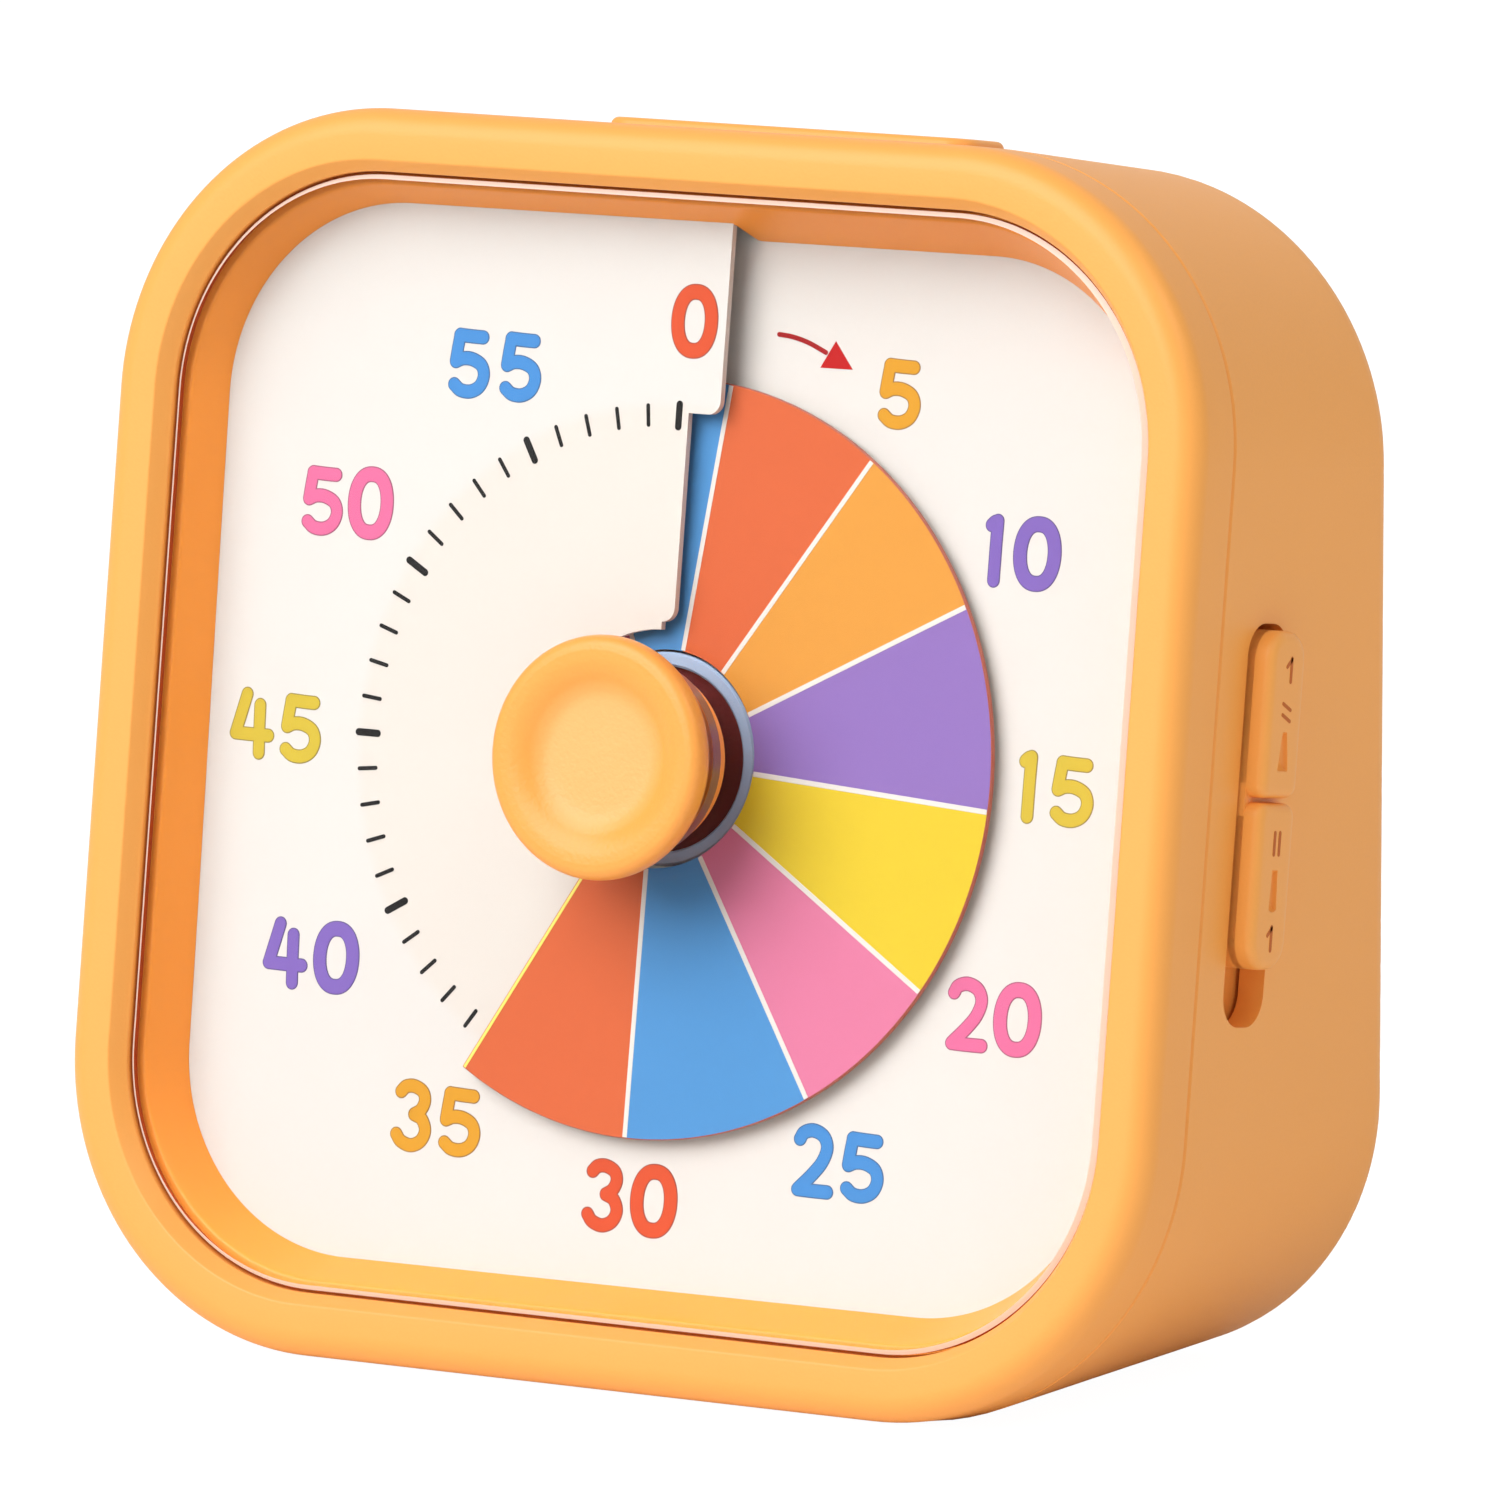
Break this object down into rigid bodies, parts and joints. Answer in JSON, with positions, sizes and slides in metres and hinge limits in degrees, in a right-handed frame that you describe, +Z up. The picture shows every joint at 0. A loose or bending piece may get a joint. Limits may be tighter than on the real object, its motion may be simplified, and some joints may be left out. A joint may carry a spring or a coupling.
{
  "type": "visual countdown timer",
  "caption": "Square leaning desk timer with a centre knob that turns a coloured disc out over a printed sixty-minute dial.",
  "frame": {"origin": "on the flat base, in line with the dial's axis seen from the front and midway between the case's front and back", "axes": "+Z up, +Y towards the back, +X to the right of someone who reads the dial; the face leans back 8 degrees"},
  "size_m": [0.0816, 0.0342, 0.0794],
  "materials": {
    "shell_orange": "fine satin moulded plastic",
    "lens_clear": "clear polished plastic window",
    "dial_white": "printed white card-like plastic",
    "disc_print": "printed sectors on thin plastic",
    "ring_grey": "satin grey-blue plastic",
    "felt_maroon": "pressed felt",
    "steel": "plain steel",
    "zinc_screw": "zinc plated steel",
    "brass_part": "turned brass",
    "copper_wire": "lacquered copper winding",
    "acetal_white": "plain acetal",
    "movement_black": "fine textured black plastic",
    "board_green": "solder resist",
    "chip_black": "cured resin drop",
    "magnet_dark": "sintered magnet",
    "cell_jacket": "printed battery sleeve, unmarked"
  },
  "bodies": {
    "case": {"front_bezel": "shell_orange", "rear_housing": "shell_orange", "dial_frame": "shell_orange", "clear_lens": "lens_clear", "dial_plate": "dial_white", "carrier_plate": "acetal_white", "movement_plate": "movement_black", "movement_case": "movement_black", "movement_screws": "zinc_screw", "stator_plate": "steel", "coil_bobbin": "acetal_white", "coil_winding": "copper_wire", "alarm_contact": "brass_part", "circuit_board": "board_green", "board_screws": "zinc_screw", "timer_chip": "chip_black", "quartz_crystal": "steel", "buzzer": "movement_black", "buzzer_disc": "brass_part", "switch_body": "steel", "key_board": "board_green", "push_switch": "movement_black", "case_screws": "zinc_screw", "battery_cell": "cell_jacket", "battery_contact_plus": "steel", "battery_contact_minus": "steel"},
    "knob_group": {"knob": "shell_orange", "spindle": "steel", "hub_ring": "ring_grey", "hub_felt": "felt_maroon", "drive_wheel": "acetal_white", "clutch_washer": "steel", "alarm_cam": "acetal_white"},
    "disc": {"time_disc": "disc_print"},
    "third": {"third_wheel": "acetal_white"},
    "fourth": {"fourth_wheel": "acetal_white"},
    "rotor": {"rotor_pinion": "acetal_white", "rotor_magnet": "magnet_dark"},
    "slider": {"side_slider": "shell_orange", "switch_lever": "movement_black"},
    "key": {"top_key": "shell_orange"},
    "door": {"battery_door": "shell_orange"}
  },
  "joints": [
    {"name": "knob_turn", "type": "hinge", "parent": "case", "child": "knob_group", "pos_m": [0, -0.0113, 0.04], "axis": [0, 0.9903, -0.1392], "range_deg": [-211.2, 148.8]},
    {"name": "disc_lift", "type": "slide", "parent": "knob_group", "child": "disc", "axis": [0, -0.9903, 0.1392], "range_m": [-0.0013, 0.00092]},
    {"name": "third_spin", "type": "hinge", "parent": "case", "child": "third", "pos_m": [-0.00752, 0.00416, 0.04221], "axis": [0, 0.9903, -0.1392], "range_deg": [-448, 635]},
    {"name": "fourth_spin", "type": "hinge", "parent": "case", "child": "fourth", "pos_m": [-0.00527, 0.00632, 0.05037], "axis": [0, 0.9903, -0.1392], "range_deg": [-1903, 1342]},
    {"name": "rotor_spin", "type": "hinge", "parent": "case", "child": "rotor", "pos_m": [0.00328, 0.0071, 0.04874], "axis": [0, 0.9903, -0.1392], "range_deg": [-4020, 5705]},
    {"name": "slider_move", "type": "slide", "parent": "case", "child": "slider", "axis": [0, -0.1392, -0.9903], "range_m": [0, 0.0035]},
    {"name": "key_press", "type": "slide", "parent": "case", "child": "key", "axis": [0, -0.1392, -0.9903], "range_m": [0, 0.0005], "stiffness_N_per_m": 300, "springref_m": -0.0003},
    {"name": "door_pull", "type": "slide", "parent": "case", "child": "door", "axis": [0, 1, 0], "range_m": [0, 0.012]}
  ],
  "couplings": [
    {"joint": "disc_lift", "follows": "knob_turn", "m_per_rad": 0.00035014},
    {"joint": "third_spin", "follows": "knob_turn", "ratio": -3},
    {"joint": "fourth_spin", "follows": "knob_turn", "ratio": 9},
    {"joint": "rotor_spin", "follows": "knob_turn", "ratio": -27}
  ]
}
